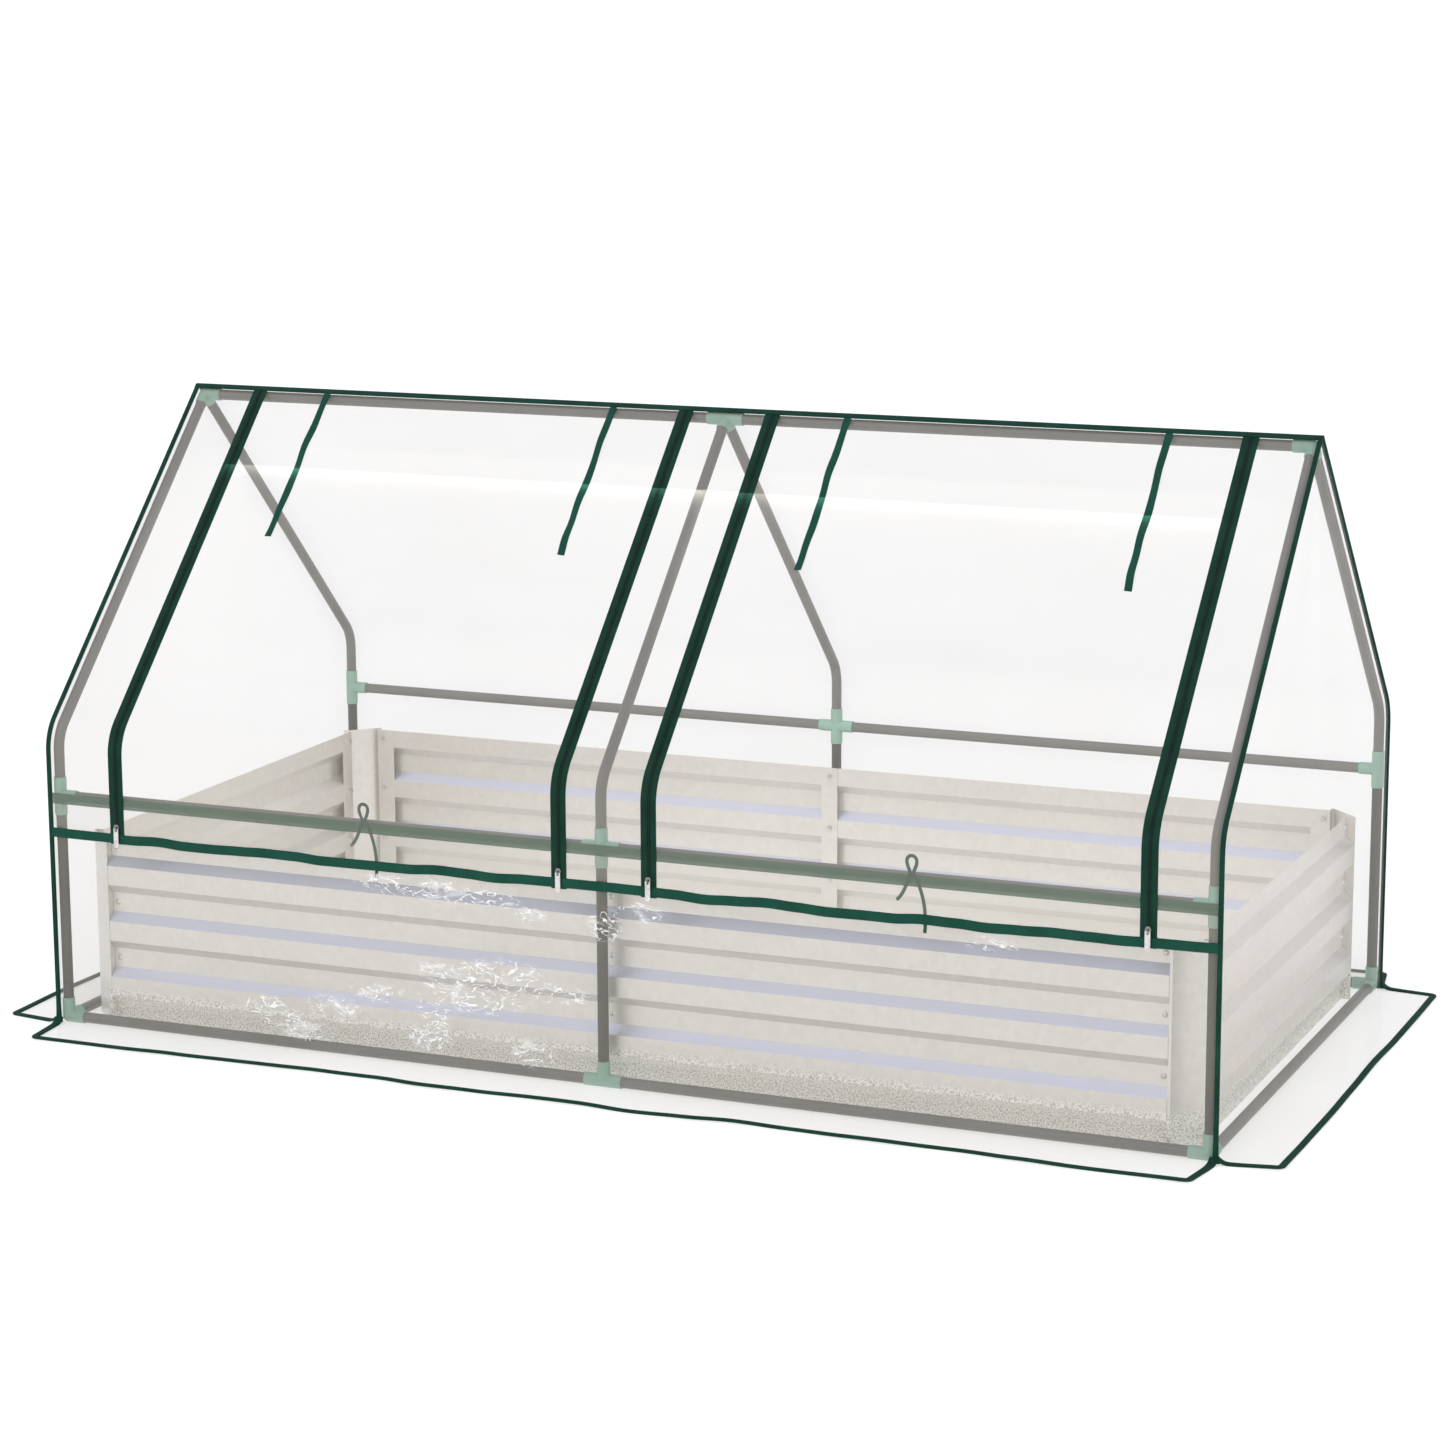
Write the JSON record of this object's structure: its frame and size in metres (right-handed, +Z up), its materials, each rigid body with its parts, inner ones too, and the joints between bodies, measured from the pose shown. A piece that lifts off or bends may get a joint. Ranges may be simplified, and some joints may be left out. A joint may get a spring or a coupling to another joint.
{
  "type": "cold frame",
  "caption": "Clear film cold frame on a socketed tube frame with a ridged roof, over a ribbed metal raised bed; zipped lift-up front doors and ground flaps.",
  "frame": {"origin": "on the ground under the middle of the tube frame", "axes": "+X to the right as seen from the doors, -Y out of the front where the doors are, +Z up"},
  "size_m": [2.005, 1.127, 0.9313],
  "materials": {
    "frame_tube": "grey powder coat",
    "connector": "moulded pale green",
    "bed_sheet": "light coated galvanised sheet",
    "fastener": "zinc plated",
    "clear_film": "clear flexible film",
    "green_tape": "woven binding tape",
    "zip_metal": "plated"
  },
  "bodies": {
    "root": {"base_corner_connectors": "connector", "base_rail_back_left": "frame_tube", "base_rail_back_right": "frame_tube", "base_rail_front_left": "frame_tube", "base_rail_front_right": "frame_tube", "base_rail_side_left": "frame_tube", "base_rail_side_right": "frame_tube", "base_tee_connectors": "connector", "bed_bolts": "fastener", "bed_corner_back_left": "bed_sheet", "bed_corner_back_right": "bed_sheet", "bed_corner_front_left": "bed_sheet", "bed_corner_front_right": "bed_sheet", "bed_joint_strips": "bed_sheet", "bed_nuts": "fastener", "bed_panel_back_left": "bed_sheet", "bed_panel_back_right": "bed_sheet", "bed_panel_front_left": "bed_sheet", "bed_panel_front_right": "bed_sheet", "bed_panel_left": "bed_sheet", "bed_panel_right": "bed_sheet", "cover_back": "clear_film", "cover_front_lower": "clear_film", "cover_front_strips": "clear_film", "cover_gable_left": "clear_film", "cover_gable_right": "clear_film", "cover_skirt": "clear_film", "hoop_tube_back_left": "frame_tube", "hoop_tube_back_middle": "frame_tube", "hoop_tube_back_right": "frame_tube", "hoop_tube_front_left": "frame_tube", "hoop_tube_front_middle": "frame_tube", "hoop_tube_front_right": "frame_tube", "lower_posts": "frame_tube", "mid_cross_connectors": "connector", "mid_rail_back_left": "frame_tube", "mid_rail_back_right": "frame_tube", "mid_rail_front_left": "frame_tube", "mid_rail_front_right": "frame_tube", "mid_tee_connectors": "connector", "panel_tie_bows": "green_tape", "ridge_centre_connector": "connector", "ridge_end_connectors": "connector", "ridge_rail_left": "frame_tube", "ridge_rail_right": "frame_tube", "zip_tapes": "green_tape"},
    "left_door_roof": {"left_door_roof": "clear_film", "left_door_ties": "green_tape"},
    "left_door_flap": {"left_door_flap": "clear_film"},
    "right_door_roof": {"right_door_roof": "clear_film", "right_door_ties": "green_tape"},
    "right_door_flap": {"right_door_flap": "clear_film"},
    "slider_left_door_left": {"slider_left_door_left": "zip_metal"},
    "pull_left_door_left": {"pull_left_door_left": "zip_metal"},
    "slider_left_door_right": {"slider_left_door_right": "zip_metal"},
    "pull_left_door_right": {"pull_left_door_right": "zip_metal"},
    "slider_right_door_left": {"slider_right_door_left": "zip_metal"},
    "pull_right_door_left": {"pull_right_door_left": "zip_metal"},
    "slider_right_door_right": {"slider_right_door_right": "zip_metal"},
    "pull_right_door_right": {"pull_right_door_right": "zip_metal"}
  },
  "joints": [
    {"name": "left_door_lift", "type": "hinge", "parent": "root", "child": "left_door_roof", "pos_m": [-0.42775, 0, 0.93405], "axis": [-1, 0, 0], "range_deg": [0, 264]},
    {"name": "left_door_fold", "type": "hinge", "parent": "left_door_roof", "child": "left_door_flap", "pos_m": [-0.42775, -0.47325, 0.45354], "axis": [-1, 0, 0], "range_deg": [0, 88]},
    {"name": "right_door_lift", "type": "hinge", "parent": "root", "child": "right_door_roof", "pos_m": [0.44575, 0, 0.93405], "axis": [-1, 0, 0], "range_deg": [0, 264]},
    {"name": "right_door_fold", "type": "hinge", "parent": "right_door_roof", "child": "right_door_flap", "pos_m": [0.44575, -0.47325, 0.45354], "axis": [-1, 0, 0], "range_deg": [0, 88]},
    {"name": "zip_left_door_left", "type": "slide", "parent": "left_door_flap", "child": "slider_left_door_left", "axis": [0, 0, 1], "range_m": [0, 0.1]},
    {"name": "pull_swing_left_door_left", "type": "hinge", "parent": "slider_left_door_left", "child": "pull_left_door_left", "pos_m": [-0.79425, -0.478, 0.315], "axis": [-1, 0, 0], "range_deg": [0, 175]},
    {"name": "zip_left_door_right", "type": "slide", "parent": "left_door_flap", "child": "slider_left_door_right", "axis": [0, 0, 1], "range_m": [0, 0.1]},
    {"name": "pull_swing_left_door_right", "type": "hinge", "parent": "slider_left_door_right", "child": "pull_left_door_right", "pos_m": [-0.06125, -0.478, 0.315], "axis": [-1, 0, 0], "range_deg": [0, 175]},
    {"name": "zip_right_door_left", "type": "slide", "parent": "right_door_flap", "child": "slider_right_door_left", "axis": [0, 0, 1], "range_m": [0, 0.1]},
    {"name": "pull_swing_right_door_left", "type": "hinge", "parent": "slider_right_door_left", "child": "pull_right_door_left", "pos_m": [0.07925, -0.478, 0.315], "axis": [-1, 0, 0], "range_deg": [0, 175]},
    {"name": "zip_right_door_right", "type": "slide", "parent": "right_door_flap", "child": "slider_right_door_right", "axis": [0, 0, 1], "range_m": [0, 0.1]},
    {"name": "pull_swing_right_door_right", "type": "hinge", "parent": "slider_right_door_right", "child": "pull_right_door_right", "pos_m": [0.81225, -0.478, 0.315], "axis": [-1, 0, 0], "range_deg": [0, 175]}
  ]
}
